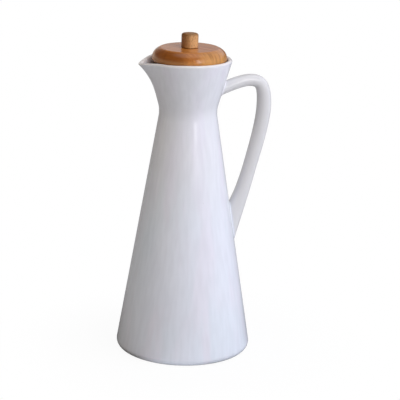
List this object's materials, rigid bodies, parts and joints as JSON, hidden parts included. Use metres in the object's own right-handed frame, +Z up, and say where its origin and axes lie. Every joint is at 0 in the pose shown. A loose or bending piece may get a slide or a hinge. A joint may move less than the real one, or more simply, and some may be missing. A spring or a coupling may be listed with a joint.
{
  "type": "oil bottle",
  "caption": "Tall tapered white ceramic oil bottle with a pulled spout, a curved side handle and a knobbed bamboo lid that lifts out, for storing and pouring oil.",
  "frame": {"origin": "on the table, in the middle of the bottle's outline seen from above; the vessel's own axis stands 7.1 mm to the spout side of it", "axes": "+Z up, handle towards +X, spout towards -X, the bottle is the same on its +Y and -Y sides"},
  "size_m": [0.12, 0.1058, 0.2527],
  "materials": {
    "white_glaze": "glossy white glaze with a cool cast, bare clay only on the foot ring",
    "lacquered_bamboo": "clear gloss lacquer over amber laminated bamboo",
    "knob_bamboo": "satin lacquer over lighter bamboo",
    "plug_bamboo": "oiled bamboo",
    "dowel_wood": "plain turned wood, glued in",
    "clear_silicone": "translucent soft silicone"
  },
  "bodies": {
    "vessel": {"vessel_body": "white_glaze", "handle": "white_glaze"},
    "seal": {"seal_ring": "clear_silicone"},
    "lid": {"lid_disc": "lacquered_bamboo", "knob": "knob_bamboo", "lid_dowel": "dowel_wood", "lid_plug": "plug_bamboo"}
  },
  "joints": [
    {"name": "lid_lift", "type": "slide", "parent": "vessel", "child": "seal", "axis": [0, 0, 1], "range_m": [0, 0.06]},
    {"name": "lid_turn", "type": "hinge", "parent": "seal", "child": "lid", "pos_m": [-0.00707, 0, 0.2302], "axis": [0, 0, 1], "continuous": true}
  ]
}
